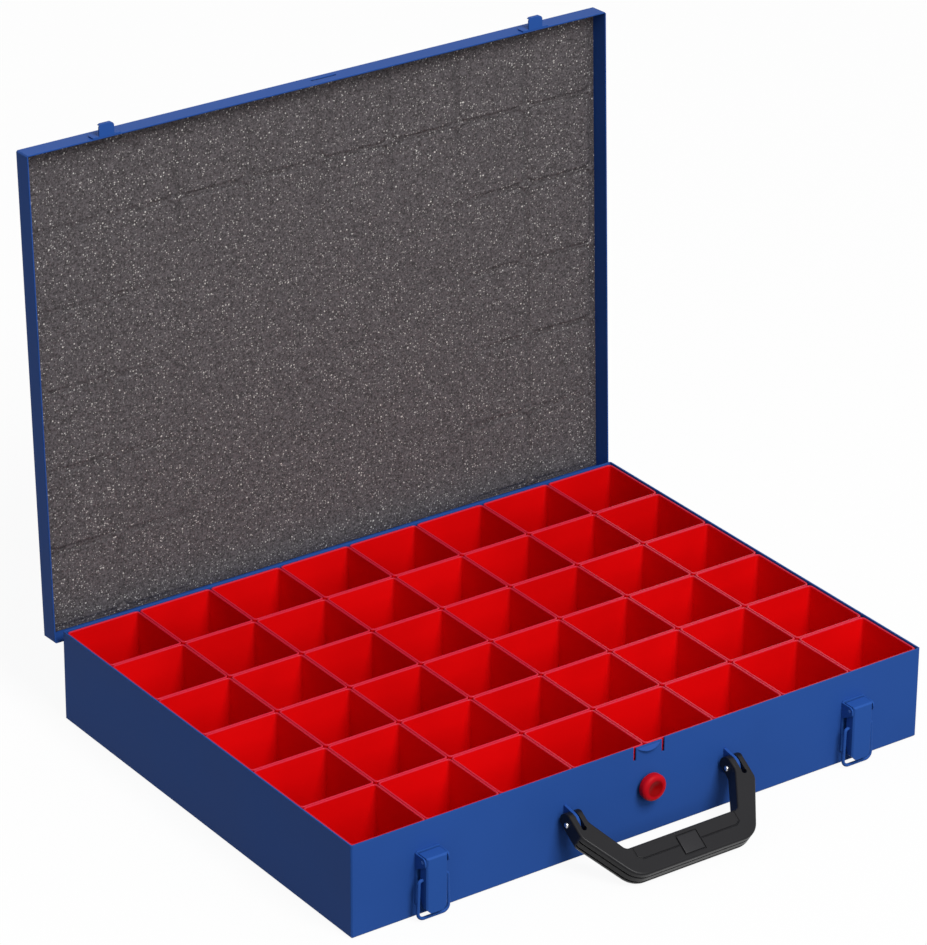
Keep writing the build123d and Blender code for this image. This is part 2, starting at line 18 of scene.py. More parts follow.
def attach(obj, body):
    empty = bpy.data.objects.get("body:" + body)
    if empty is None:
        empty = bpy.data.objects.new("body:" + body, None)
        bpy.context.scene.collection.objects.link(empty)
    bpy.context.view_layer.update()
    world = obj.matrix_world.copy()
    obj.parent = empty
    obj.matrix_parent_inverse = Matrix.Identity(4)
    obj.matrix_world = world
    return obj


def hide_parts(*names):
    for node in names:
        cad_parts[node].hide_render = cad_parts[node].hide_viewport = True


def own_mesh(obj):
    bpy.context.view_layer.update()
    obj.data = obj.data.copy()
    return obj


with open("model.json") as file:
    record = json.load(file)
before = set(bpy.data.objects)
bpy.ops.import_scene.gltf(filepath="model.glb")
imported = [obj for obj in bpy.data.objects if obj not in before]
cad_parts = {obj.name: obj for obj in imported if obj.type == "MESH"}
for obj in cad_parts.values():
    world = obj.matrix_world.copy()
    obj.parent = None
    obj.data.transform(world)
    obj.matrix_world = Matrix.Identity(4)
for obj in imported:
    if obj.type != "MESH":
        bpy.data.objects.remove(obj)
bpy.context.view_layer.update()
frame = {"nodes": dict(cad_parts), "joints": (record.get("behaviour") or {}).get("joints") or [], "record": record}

# %% [markdown]
# ## The camera
# The viewing angle was fitted to the corners of the tray and to the raster of the inserts. A fitted
# camera is written as its place and the directions of its view and of its right side, because angles
# would need an order of turning. The long lens keeps the case's edges almost parallel, as product
# pictures do.

# %% Place the camera
picture_height = 945
focal_pixels = 4870.95
camera_place = Vector((-1.59624, -2.21008, 1.51633))
camera_right = Vector((0.816415, -0.577426, 0.006786))
camera_forward = Vector((0.521023, 0.731499, -0.439824))

lens = bpy.data.cameras.new("picture_camera")
lens.sensor_width = 36.0
lens.lens = focal_pixels / picture_height * lens.sensor_width
camera = bpy.data.objects.new("picture_camera", lens)
bpy.context.scene.collection.objects.link(camera)
camera_up = camera_right.cross(camera_forward).normalized()
axes = Matrix((camera_right, camera_up, -camera_forward)).transposed()
camera.matrix_world = Matrix.Translation(camera_place) @ axes.to_4x4()
bpy.context.scene.camera = camera
print("lens", round(lens.lens, 1), "mm")

# %% [markdown]
# ## Shader maths that reads like maths
# A material is a graph of nodes, and most of its nodes are plain arithmetic. Wrapping a socket in a small
# class with its own operators lets an expression such as `1 - mask` add the Math nodes by itself.
# Everything that is not arithmetic on single values comes from one method, which sets a node's settings
# first and its sockets after.

# %% A socket with operators


class Value:
    """A socket of one number: an operator adds the Math node that works it out."""

    def __init__(self, finish, socket):
        self.finish = finish
        self.socket = socket

    def maths(self, operation, *others):
        inputs = dict(enumerate((self, *others)))
        return self.finish.node("ShaderNodeMath", {"operation": operation}, inputs)

    def __add__(self, other):
        return self.maths("ADD", other)

    def __sub__(self, other):
        return self.maths("SUBTRACT", other)

    def __rsub__(self, other):
        return (self * -1.0) + other

    def __mul__(self, other):
        return self.maths("MULTIPLY", other)

    def __lt__(self, other):
        return self.maths("LESS_THAN", other)

    def __abs__(self):
        return self.maths("ABSOLUTE")

    __radd__ = __add__
    __rmul__ = __mul__


print("a socket with operators:", Value.__name__)

# %% A finish that makes nodes


class Finish:
    """A material, and the one method that adds any node to it."""

    def __init__(self, name, tree=None):
        if tree is None:
            self.material = bpy.data.materials.new(name)
            self.material.use_nodes = True
            tree = self.material.node_tree
        self.tree = tree
        self.tree.nodes.clear()

    def node(self, kind, settings=None, inputs=None, output=0):
        """An output of a new node, once its settings are set and its sockets are filled or linked."""
        added = self.tree.nodes.new(kind)
        for name, setting in (settings or {}).items():
            setattr(added, name, setting)
        for name, given in (inputs or {}).items():
            if isinstance(given, Value):
                self.tree.links.new(given.socket, added.inputs[name])
            else:
                added.inputs[name].default_value = given
        return Value(self, added.outputs[output]) if added.outputs else None

    def place(self):
        """Where a point lies on its own object, in metres, so a pattern stays on a piece that moves."""
        return self.node("ShaderNodeTexCoord", output="Object")

    def place_along(self, axis):
        """One coordinate of a point's place."""
        return self.node("ShaderNodeSeparateXYZ", inputs={"Vector": self.place()}, output=axis)

    def noise(self, per_metre, detail=2.0, roughness=0.5):
        """Soft random spots, so many to a metre."""
        inputs = {"Vector": self.place(), "Scale": per_metre, "Detail": detail, "Roughness": roughness}
        return self.node("ShaderNodeTexNoise", inputs=inputs)

    def mixed(self, factor, first, second):
        """Colour between two colours."""
        inputs = {0: factor, 6: first, 7: second}
        return self.node("ShaderNodeMix", {"data_type": "RGBA"}, inputs, output=2)

    def smooth_step(self, value, low, high):
        """0 below low, 1 above high, and a soft slope between."""
        settings = {"interpolation_type": "SMOOTHSTEP"}
        inputs = {"Value": value, "From Min": low, "From Max": high}
        return self.node("ShaderNodeMapRange", settings, inputs)

    def rounded(self, radius):
        """The normal that sharp edges would have if they were rounded."""
        return self.node("ShaderNodeBevel", {"samples": 6}, {"Radius": radius})

    def bump(self, height, distance, normal=None):
        """A normal that makes a pattern look raised by a distance."""
        inputs = {"Height": height, "Distance": distance, "Strength": 1.0}
        if normal is not None:
            inputs["Normal"] = normal
        return self.node("ShaderNodeBump", inputs=inputs)

    def surface(self, **sockets):
        """The Principled shader with these sockets, and the material's output."""
        named = {name.replace("_", " "): given for name, given in sockets.items()}
        shader = self.node("ShaderNodeBsdfPrincipled", inputs=named)
        self.node("ShaderNodeOutputMaterial", inputs={"Surface": shader})
        return self.material


def colour(red, green, blue):
    """A colour from screen numbers of 0 to 255, as the linear colour that shaders use."""
    return tuple(((part / 255 + 0.055) / 1.055) ** 2.4 if part > 10 else part / 255 / 12.92
                 for part in (red, green, blue))


def opaque(rgb, tone=1.0):
    """A colour for a socket, made lighter or darker by a tone."""
    return (*(part * tone for part in rgb), 1.0)


print("a material that makes nodes:", Finish.__name__)

# %% [markdown]
# ## Powder-coated sheet steel
# Powder coat is a baked plastic skin: even in colour, with a fine orange peel and a soft gloss. A noise
# about a millimetre across gives the peel as bump, and a second, much larger one makes gloss and colour
# uneven. The folds of the CAD sheets are sharp facets, so a Bevel node rounds the normal along them, and
# edges catch the light as folded and coated metal does.

# %% Coat the steel
fold_radius = 0.0006
peel_per_metre, peel_height = 900.0, 0.000012
drift_per_metre, drift_share = 9.0, 0.04
case_blue = (0.022, 0.08, 0.32)
latch_blue = (0.022, 0.084, 0.335)


def powder_coat(name, base):
    """A coat of one colour with its drift and its peel."""
    coat = Finish(name)
    drift = coat.noise(drift_per_metre, detail=3.0)
    peel = coat.noise(peel_per_metre, detail=1.0)
    patches = coat.smooth_step(drift, 0.35, 0.65)
    return coat.surface(
        Base_Color=coat.mixed(patches, opaque(base, 1 - drift_share), opaque(base, 1 + drift_share)),
        Roughness=0.4 + 0.12 * drift,
        Specular_IOR_Level=0.05,
        Normal=coat.bump(peel, peel_height, coat.rounded(fold_radius)),
    )


case_paint = powder_coat("case_paint", case_blue)
lid_paint = powder_coat("lid_paint", case_blue)
latch_paint = powder_coat("latch_paint", latch_blue)
print("three coats of paint")

# %% [markdown]
# ## Moulded plastics and steel
# The inserts and the button are glossy red plastic, and the handle is a charcoal plastic with a fine
# leather-like grain. Bright steel shows only at the pins and the rivets. Each has its own small
# unevenness, because a surface that is the same everywhere looks like a drawing.

# %% Mix the plastics
cloud_per_metre, cloud_tone = 14.0, 0.86
moulded_edge_radius = 0.0004
# Heights between which the tops of the insert rims get their painted sheen, a pinker colour.
rim_low, rim_high = 0.0618, 0.0625
# Where the button's dish gets its painted shade, a darker red.
dish_x, dish_z = 0.002, 0.0347
dish_radius, dish_edge = 0.0046, 0.0062


def moulded(name, base, roughness, shine, grain_per_metre, grain_height, mark=None, marked=None):
    """A plastic; mark says where, from 0 to 1, it has the marked colour instead of its base colour."""
    plastic = Finish(name)
    cloud = plastic.noise(cloud_per_metre, detail=2.0)
    grain = plastic.noise(grain_per_metre, detail=2.0)
    clouds = plastic.smooth_step(cloud, 0.3, 0.7)
    tone = plastic.mixed(clouds, opaque(base, cloud_tone), opaque(base))
    if mark is not None:
        tone = plastic.mixed(mark(plastic), tone, opaque(marked))
    return plastic.surface(
        Base_Color=tone,
        Roughness=roughness + 0.12 * cloud,
        Specular_IOR_Level=shine,
        Normal=plastic.bump(grain, grain_height, plastic.rounded(moulded_edge_radius)),
    )


def painted_rim_sheen(plastic):
    """The round rims of the inserts, which are thin: a pinker colour at their top is a painted sheen, standing in
    for highlights and light let through the rim.
    """
    return plastic.smooth_step(plastic.place_along("Z"), rim_low, rim_high)


def painted_dish_shade(plastic):
    """The dish inside the button's round rim, where a darker red is painted shade."""
    across = plastic.place_along("X") - dish_x
    up = plastic.place_along("Z") - dish_z
    from_middle = (across * across + up * up).maths("SQRT")
    return 1 - plastic.smooth_step(from_middle, dish_radius, dish_edge)


# The tops of the insert rims are painted pinker, as a painted sheen.
insert_plastic = moulded(
    "insert_plastic", base=(0.69, 0.001, 0.002), roughness=0.26, shine=0.2,
    grain_per_metre=260.0, grain_height=0.00002, mark=painted_rim_sheen, marked=(0.6, 0.014, 0.04))
# The button's dish is painted a darker red, as painted shade in the hollow.
button_plastic = moulded(
    "button_plastic", base=(0.5, 0.0045, 0.012), roughness=0.34, shine=0.07,
    grain_per_metre=420.0, grain_height=0.00001, mark=painted_dish_shade, marked=(0.26, 0.0006, 0.0015))
collar_plastic = moulded(
    "collar_plastic", base=(0.4, 0.002, 0.006), roughness=0.3, shine=0.16,
    grain_per_metre=420.0, grain_height=0.00001)
grip_plastic = moulded(
    "grip_plastic", base=(0.009, 0.0088, 0.0105), roughness=0.32, shine=0.2,
    grain_per_metre=2600.0, grain_height=0.00002)
pad_plastic = moulded(
    "pad_plastic", base=(0.015, 0.0147, 0.017), roughness=0.4, shine=0.2,
    grain_per_metre=1700.0, grain_height=0.00005)
print("five plastics")

# %% Polish the steel
scratch_per_metre, scratch_height = 700.0, 0.000004


def bright_steel(name):
    """Plated steel, with fine scratches."""
    steel = Finish(name)
    scratch = steel.noise(scratch_per_metre, detail=3.0)
    return steel.surface(
        Base_Color=opaque((0.62, 0.62, 0.64)),
        Metallic=1.0,
        Roughness=0.22 + 0.15 * scratch,
        Normal=steel.bump(scratch, scratch_height),
    )


zinc_steel = bright_steel("zinc_steel")
print("one bright steel")

# %% Give every CAD node its finish
# The foam node is replaced further down, so its finish here is never seen.
finish_of_slot = {
    "case_paint": case_paint,
    "lid_paint": lid_paint,
    "latch_paint": latch_paint,
    "zinc_steel": zinc_steel,
    "insert_plastic": insert_plastic,
    "grip_plastic": grip_plastic,
    "button_plastic": button_plastic,
    "collar_plastic": collar_plastic,
    "foam": grip_plastic,
}
slot_of_node = {part["node"]: part["material_slot"] for part in frame["record"]["subparts"]}
for name, node in frame["nodes"].items():
    node.data.materials.clear()
    node.data.materials.append(finish_of_slot[slot_of_node[name]])
print("finished", len(frame["nodes"]), "nodes")

# %% [markdown]
# ## The foam in the lid
# A thin sheet of recycled foam is glued inside the lid: dark, flecked with pale crumbs, and pressed where
# the inserts' rims touch it when the case is shut. A box with a modifier that rounds it would look
# machined, so the sheet is a grid whose face swells a little and falls away at the rim. It is built flat
# on the closed lid and its object is then turned open about the hinge, so that its own coordinates stay
# those of the closed lid and the pressed raster can be drawn from them.

# %% Find the closed lid from its hinge
lid_joint = next(joint for joint in frame["joints"] if joint["name"] == "lid_hinge")
hinge_point = Vector(lid_joint["pos_m"])
opened = math.radians(lid_joint["range_deg"][0])
to_hinge = Matrix.Translation(hinge_point)
lid_opened = to_hinge @ Matrix.Rotation(opened, 4, "X") @ to_hinge.inverted()


def closed_box(name):
    """Lowest and highest corner of a lid node as if the lid were closed."""
    shut = lid_opened.inverted()
    corners = [shut @ vertex.co for vertex in frame["nodes"][name].data.vertices]
    low = Vector([min(corner[axis] for corner in corners) for axis in range(3)])
    high = Vector([max(corner[axis] for corner in corners) for axis in range(3)])
    return low, high


foam_low, foam_high = closed_box("lid_foam_liner")
print("foam, closed lid", [round(part * 1000, 1) for part in (*foam_low, *foam_high)])

# %% Cut the foam sheet
foam_columns, foam_rows = 88, 66
foam_round = 0.0007
swell_height = 0.00012
waves_along_x, waves_along_y, wave_shift = 61.0, 47.0, 2.0


def foam_point(column, row, top):
    """A point of the sheet's grid: its face is rounded off to the rim, and swells very slightly."""
    u, v = column / foam_columns, row / foam_rows
    point = Vector((
        foam_low.x + u * (foam_high.x - foam_low.x),
        foam_low.y + v * (foam_high.y - foam_low.y),
        foam_high.z if top else foam_low.z,
    ))
    if top:
        return point
    margin = min(point.x - foam_low.x, foam_high.x - point.x, point.y - foam_low.y, foam_high.y - point.y)
    point.z += foam_round * max(0.0, 1.0 - margin / (3 * foam_round)) ** 2
    wave = math.sin(point.x * waves_along_x + wave_shift) * math.sin(point.y * waves_along_y)
    point.z += swell_height * (1 + wave)
    return point


print("foam grid", foam_columns, "by", foam_rows)

# %% Join the foam sheet


def foam_sheet():
    """The sheet: a fine grid on its open side, and one face on the side that is glued."""
    mesh = bmesh.new()
    made = {}
    for top in (False, True):
        for column in range(foam_columns + 1):
            for row in range(foam_rows + 1):
                if top and 0 < column < foam_columns and 0 < row < foam_rows:
                    continue
                made[top, column, row] = mesh.verts.new(foam_point(column, row, top))
    for column in range(foam_columns):
        for row in range(foam_rows):
            corners = [(column, row), (column, row + 1), (column + 1, row + 1), (column + 1, row)]
            mesh.faces.new([made[False, *corner] for corner in corners])
    rim = [(column, 0) for column in range(foam_columns)]
    rim += [(foam_columns, row) for row in range(foam_rows)]
    rim += [(column, foam_rows) for column in range(foam_columns, 0, -1)]
    rim += [(0, row) for row in range(foam_rows, 0, -1)]
    for near, far in zip(rim, rim[1:] + rim[:1]):
        mesh.faces.new([made[False, *near], made[False, *far], made[True, *far], made[True, *near]])
    mesh.faces.new([made[True, *corner] for corner in rim])
    bmesh.ops.recalc_face_normals(mesh, faces=mesh.faces)
    return mesh


foam_mesh = foam_sheet()
print("foam sheet", len(foam_mesh.faces), "faces")

# %% Make a piece from a mesh


def piece(name, mesh, finish, slot, smooth=math.radians(40)):
    """A new object from a bmesh, smooth except over sharp edges, with its finish."""
    data = bpy.data.meshes.new(name)
    mesh.to_mesh(data)
    mesh.free()
    data.materials.append(finish)
    data.shade_smooth()
    data.set_sharp_from_angle(angle=smooth)
    made = bpy.data.objects.new(name, data)
    bpy.context.scene.collection.objects.link(made)
    print(name, len(data.polygons), "faces")
    return made


print("a mesh becomes a piece:", piece.__name__)

# %% [markdown]
# ## The look of the foam
# Crumbs could be thousands of small meshes, but from this far they are points of light, so a pattern is
# enough. They are the cells of a Voronoi pattern: a cell shows a crumb when the number it was given at
# random is low enough, and only close to its middle. The raster is the distance to a square with rounded
# corners, worked out once for one insert and repeated by taking the remainder of the place. It fades away
# in the middle of the lid, where the rims press less.

# %% Scatter the crumbs
coarse_per_metre, coarse_share, coarse_radius = 480.0, 0.28, 0.28
fine_per_metre, fine_share, fine_radius = 760.0, 0.47, 0.36


def flecks(foam, per_metre, share, radius):
    """Crumbs: bright close to the middle of a share of the cells, most of them faint, and 0 elsewhere."""
    cell = {"Vector": foam.place(), "Scale": per_metre, "Randomness": 1.0}
    distance = foam.node("ShaderNodeTexVoronoi", {"voronoi_dimensions": "3D"}, cell, output="Distance")
    chance = foam.node("ShaderNodeTexVoronoi", {"voronoi_dimensions": "3D"}, cell, output="Color")
    red = foam.node("ShaderNodeSeparateColor", inputs={"Color": chance}, output="Red")
    green = foam.node("ShaderNodeSeparateColor", inputs={"Color": chance}, output="Green")
    small = distance < radius * (0.5 + 0.5 * green)
    return small * (red < share) * (0.25 + 0.75 * green * green)


print("crumbs", coarse_per_metre, "and", fine_per_metre, "to a metre")

# %% Press the raster of the rims
insert_pitch = 0.054
insert_columns, insert_rows = 8, 6
rim_margin, rim_corner = 0.0008, 0.007
line_width, line_fade = 0.0002, 0.0024
free_half_x, pressed_half_x = 0.08, 0.15
free_half_y, pressed_half_y = 0.05, 0.11
patch_per_metre = 7.0


def within_pitch(along, count):
    """Distance from the middle of the nearest insert, along one direction."""
    first = count / 2 * insert_pitch
    return abs((along + first).maths("MODULO", insert_pitch) - insert_pitch / 2)


def pressed_raster(foam):
    """The print of the rims, strongest at both ends and along the front of the lid."""
    along, across = foam.place_along("X"), foam.place_along("Y")
    core = insert_pitch / 2 - rim_margin - rim_corner
    side = (within_pitch(along, insert_columns) - core).maths("MAXIMUM", 0.0)
    depth = (within_pitch(across, insert_rows) - core).maths("MAXIMUM", 0.0)
    from_corner = (side * side + depth * depth).maths("SQRT")
    line = 1 - foam.smooth_step(abs(from_corner - rim_corner), line_width, line_fade)
    near_end = foam.smooth_step(abs(along), free_half_x, pressed_half_x)
    near_front = foam.smooth_step(across * -1.0, free_half_y, pressed_half_y)
    patchy = foam.smooth_step(foam.noise(patch_per_metre, detail=3.0), 0.38, 0.62)
    return line * near_end.maths("MAXIMUM", near_front) * (0.5 + 0.5 * patchy)


print("raster of", insert_columns, "by", insert_rows)

# %% Dress the foam sheet
cluster_per_metre, mottle_per_metre = 90.0, 820.0
mottle_height, crumb_height, press_depth = 0.00012, 0.0001, 0.0008
# The pressed lines take this share of a darker grey, as painted shade.
groove_shade_share = 0.2
crumb_colour = colour(220, 217, 213)
dark_foam, light_foam = colour(48, 45, 46), colour(101, 96, 99)
groove_shade_colour = colour(40, 38, 39)


def crumb_foam(name):
    """Crumbs in clusters over a mottled ground, pressed in along the raster, with painted shade darkening the
    pressed lines.
    """
    foam = Finish(name)
    clusters = 0.65 + 0.35 * foam.smooth_step(foam.noise(cluster_per_metre, detail=2.0), 0.4, 0.62)
    coarse = flecks(foam, coarse_per_metre, coarse_share, coarse_radius)
    fine = flecks(foam, fine_per_metre, fine_share, fine_radius)
    crumbs = coarse.maths("MAXIMUM", fine * 0.75) * clusters
    mottle = foam.noise(mottle_per_metre, detail=2.0, roughness=0.7)
    ground = foam.mixed(foam.smooth_step(mottle, 0.3, 0.7), opaque(dark_foam), opaque(light_foam))
    pressed = pressed_raster(foam)
    # Painted shade: the ground is darkened along the pressed lines.
    groove_shaded = foam.mixed(pressed * groove_shade_share, ground, opaque(groove_shade_colour))
    height = mottle * mottle_height - pressed * press_depth + crumbs * crumb_height
    return foam.surface(
        Base_Color=foam.mixed(crumbs, groove_shaded, opaque(crumb_colour)),
        Roughness=0.85 - 0.2 * crumbs,
        Specular_IOR_Level=0.3,
        Normal=foam.bump(height, 1.0),
    )


foam_liner = piece("foam_liner", foam_mesh, crumb_foam("crumb_foam"), "foam")
foam_liner.matrix_world = lid_opened
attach(foam_liner, "lid")
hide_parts("lid_foam_liner")

# %% [markdown]
# ## Finer pieces than the CAD model has
# The CAD model draws its small round parts with few flat faces. For the picture the inserts, the bails,
# the button with its plug, the rivets, the grip and its pins are made again at the same sizes, with real
# roundings. All of them start as stacks of rings: a list of rings of points, each joined to the next by a
# band of faces.

# %% Turn in steps and bend lines
millimetre = 0.001


def full_turn(steps):
    """The angles of a full turn in even steps, without its end."""
    return [step / steps * 2 * math.pi for step in range(steps)]


def quarter_turn(steps):
    """The angles of a quarter turn in even steps, with its end."""
    return [step / steps * math.pi / 2 for step in range(steps + 1)]


def rounded_line(points, radii, steps):
    """Points of a line in one plane, with an arc in place of each corner."""
    corners = [Vector(point) for point in points]
    line = [corners[0]]
    for before, corner, after, radius in zip(corners, corners[1:], corners[2:], radii):
        arrive = (corner - before).normalized()
        leave = (after - corner).normalized()
        turn = arrive.angle(leave)
        start = corner - arrive * radius * math.tan(turn / 2)
        end = corner + leave * radius * math.tan(turn / 2)
        middle = corner + (leave - arrive).normalized() * radius / math.cos(turn / 2)
        for step in range(steps + 1):
            share = step / steps
            aim = (start - middle) * math.sin((1 - share) * turn) + (end - middle) * math.sin(share * turn)
            line.append(middle + aim / math.sin(turn))
    line.append(corners[-1])
    return line


def walk(line):
    """Each point of an open line, with the direction that the line has there."""
    for before, point, after in zip([line[0], *line], line, [*line[1:], line[-1]]):
        yield point, (after - before).normalized()


print("an arc of 4 steps has", len(quarter_turn(4)), "angles")

# %% Join rings into a skin


def join_rings(mesh, rings):
    """Bands of faces from each ring of points to the next, and a face over each end."""
    made = [[mesh.verts.new(point) for point in ring] for ring in rings]
    for low, high in zip(made, made[1:]):
        for index in range(len(low)):
            after = (index + 1) % len(low)
            mesh.faces.new([low[index], low[after], high[after], high[index]])
    mesh.faces.new(made[0])
    mesh.faces.new(made[-1])


def skin(name, stacks, finish, slot, node, body):
    """An object made of stacks of rings in millimetres, in the place of a CAD node."""
    mesh = bmesh.new()
    for rings in stacks:
        join_rings(mesh, rings)
    bmesh.ops.scale(mesh, vec=(millimetre, millimetre, millimetre), verts=mesh.verts)
    bmesh.ops.recalc_face_normals(mesh, faces=mesh.faces)
    made = piece(name, mesh, finish, slot)
    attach(made, body)
    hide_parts(node)
    return made


print("rings join into a skin")

# %% [markdown]
# ## The inserts
# Each insert is a thin moulded cup, tapered so that it leaves its mould, with a soft round rim. A box with
# one modifier for the wall and another for the rounding would draw it, but would give the rim, the corners
# and the foot one radius. A stack of squares with round corners gives each height its own size: up the
# outside with the draft of the mould, over the rim, down the inside, and around the foot to the floor.

# %% Mould the inserts
insert_size, insert_height = 53.6, 61.7
insert_wall, insert_floor = 1.3, 1.4
draft = math.tan(math.radians(2.0))
tray_sheet = 1.0
base_round, rim_round, foot_round = 0.8, 0.45, 2.5
outer_corner, inner_corner = 3.0, 1.9
corner_steps = 6


def round_square(middle_x, middle_y, half, radius, z):
    """Ring of points of a square with round corners."""
    ring = []
    for quarter, (side_x, side_y) in enumerate(((1, 1), (-1, 1), (-1, -1), (1, -1))):
        for step in range(corner_steps + 1):
            angle = (quarter + step / corner_steps) * math.pi / 2
            x = middle_x + side_x * (half - radius) + radius * math.cos(angle)
            y = middle_y + side_y * (half - radius) + radius * math.sin(angle)
            ring.append((x, y, z))
    return ring


def insert_rings(middle_x, middle_y):
    """Rings of one insert, up the outside and down the inside."""
    top = insert_height
    outside = insert_size / 2
    inside = outside - insert_wall
    foot = inside - (top - insert_floor) * draft
    turn = quarter_turn(4)
    levels = [
        (outside - top * draft - base_round, outer_corner, 0.0),
        (outside - top * draft - base_round / 4, outer_corner, base_round / 4),
        (outside - (top - base_round) * draft, outer_corner, base_round),
    ]
    for angle in turn:
        rise = top - rim_round + rim_round * math.sin(angle)
        levels.append((outside - rim_round * (1 - math.cos(angle)), outer_corner, rise))
    for angle in reversed(turn):
        rise = top - rim_round + rim_round * math.sin(angle)
        levels.append((inside + rim_round * (1 - math.cos(angle)), inner_corner, rise))
    for angle in turn:
        drop = insert_floor + foot_round * (1 - math.sin(angle))
        levels.append((foot - foot_round * (1 - math.cos(angle)), inner_corner, drop))
    return [round_square(middle_x, middle_y, half, radius, tray_sheet + z) for half, radius, z in levels]


def raster(count):
    """Middles of the inserts along one direction, in millimetres."""
    return [(index - (count - 1) / 2) * insert_pitch / millimetre for index in range(count)]


for row, middle_y in enumerate(raster(insert_rows), start=1):
    stacks = [insert_rings(middle_x, middle_y) for middle_x in raster(insert_columns)]
    name = f"insert_row_{row}"
    skin(f"fine_{name}", stacks, insert_plastic, "insert_plastic", name, f"inserts_row_{row}")

# %% [markdown]
# ## The wire bails
# A bail is one bent wire, painted as its latch is, that hooks over the strike on the lid. A curve with a
# round bevel would be quicker, but its bends follow from handles and not from a radius. A stack of
# circles along a line with arcs at its corners has a named radius at each bend, and its ends stay where
# the lever holds them.

# %% Bend the bails
latch_x = 163.0
bail_y, bail_pivot_z, bail_low_z = -170.1, 28.0, 1.6
wire_radius, wire_steps = 1.1, 24
bail_end, bail_leg, bail_foot = 5.6, 10.4, 11.2
end_bend, foot_bend, bend_steps = 1.9, 4.2, 8


def wire_rings(line):
    """Circles square to a line that lies in a plane across Y."""
    rings = []
    sideways = Vector((0, 1, 0))
    for point, ahead in walk(line):
        across = Vector((ahead.z, 0.0, -ahead.x))
        rings.append([
            point + wire_radius * (math.cos(angle) * across + math.sin(angle) * sideways)
            for angle in full_turn(wire_steps)
        ])
    return rings


for side, sign in (("left", -1), ("right", 1)):
    x = sign * latch_x
    corners = [
        (x - bail_end, bail_y, bail_pivot_z),
        (x - bail_leg, bail_y, bail_pivot_z),
        (x - bail_foot, bail_y, bail_low_z),
        (x + bail_foot, bail_y, bail_low_z),
        (x + bail_leg, bail_y, bail_pivot_z),
        (x + bail_end, bail_y, bail_pivot_z),
    ]
    line = rounded_line(corners, [end_bend, foot_bend, foot_bend, end_bend], bend_steps)
    name = f"latch_bail_{side}"
    skin(f"fine_{name}", [wire_rings(line)], latch_paint, "latch_paint", name, name)

# %% [markdown]
# ## The push button
# The button under the front tongue has a thick round rim about a wide dish, on a hollow cap with a stem.
# It is round all over, so it could be spun from a drawn outline. Here the outline is a list of radii and
# distances, and each pair becomes a ring, which keeps the button's sizes in plain sight.

# %% Turn the button
button_x, button_wall_y, button_z = 2.0, -163.5, 34.7
button_radius, crest_radius = 9.0, 6.4
button_face, dish_depth, dish_steps = 8.0, 1.5, 10
stem_foot, stem_radius, cap_inside, skirt_radius = 3.14, 2.4, 7.4, 8.8
stem_end, stem_step, cap_floor, cap_rim = 1.28, 2.18, 5.3, 2.6


def turned(profile, steps, middle_x=button_x, middle_z=button_z):
    """Rings about an axis across the front wall, from pairs of a radius and a distance out of the wall."""
    rings = []
    for radius, out in profile:
        ring = []
        for angle in full_turn(steps):
            across, up = radius * math.cos(angle), radius * math.sin(angle)
            ring.append((middle_x + across, button_wall_y - out, middle_z + up))
        rings.append(ring)
    return rings


button_profile = [
    (stem_foot, stem_end),
    (stem_foot, stem_step),
    (stem_radius, stem_step),
    (stem_radius, cap_floor),
    (cap_inside, cap_floor),
    (cap_inside, cap_rim),
    (skirt_radius, cap_rim),
]
rim_radius = button_radius - crest_radius
for angle in quarter_turn(8):
    button_profile.append((
        crest_radius + rim_radius * math.cos(angle),
        button_face - rim_radius + rim_radius * math.sin(angle),
    ))
for step in range(1, dish_steps):
    share = 1 - step / dish_steps
    sunk = dish_depth * (0.5 + 0.5 * math.cos(math.pi * share))
    button_profile.append((crest_radius * share, button_face - sunk))
button_rings = turned(button_profile, steps=64)
skin("fine_push_button", [button_rings], button_plastic, "button_plastic", "push_button", "button")

# %% [markdown]
# ## The springy plug
# Behind the button's stem sits a small springy plug with folds that pushes the button out again. It can't
# ride on the button, because one end of it rests on the collar's floor, and it can't stay as it is, because
# the stem would run through it. Here it is set on the case with a mesh of its own, and nothing squashes it.

# %% Fit the plug behind the button
plug_low, plug_high, plug_radius = -0.58, 1.24, 2.3
plug_folds, fold_depth, plug_steps = 3, 0.3, 24
plug_profile = []
for step in range(plug_steps + 1):
    share = step / plug_steps
    fold = fold_depth * math.cos(share * 2 * plug_folds * math.pi)
    plug_profile.append((plug_radius + fold, plug_low + share * (plug_high - plug_low)))
plug_rings = turned(plug_profile, steps=32)
plug = skin("fine_button_spring", [plug_rings], zinc_steel, "zinc_steel", "button_spring", "case")
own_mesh(plug)

# %% [markdown]
# ## The rivets of the latches
# Two rivets hold each latch base to the front wall, and show when a lever is raised. A flat disc would do
# from afar, but a low dome has one small highlight that wanders as the view turns, so they are turned with
# the same rings as the button.

# %% Head the rivets of the latches
rivet_heights, rivet_steps = (12.0, 23.0), 24
rivet_shank = [(1.5, -1.0), (1.5, 1.0), (2.4, 1.0)]
rivet_dome = [(2.4, 1.2), (2.27, 1.48), (1.9, 1.7), (1.3, 1.85), (0.5, 1.9)]
rivet_profile = [*rivet_shank, *rivet_dome]
rivets = [turned(rivet_profile, rivet_steps, x, z) for x in (-latch_x, latch_x) for z in rivet_heights]
skin("fine_latch_rivets", rivets, zinc_steel, "zinc_steel", "latch_rivets", "case")

# %% [markdown]
# ## The grip
# The grip is one moulding, forked at both ends where it turns on its pins. It could be a profile swept
# along a bent line, but the corners of a sweep pinch, and the forks would have to be joined to it. So it
# is cut from a slab: its outline seen from the front, rounded along both faces, then cut by a profile with
# round ends, by the slots of its forks, by two grooves around its outer side and by a line and a pocket on
# its face. The slab hangs straight down, and is then turned up to where the handle rests.

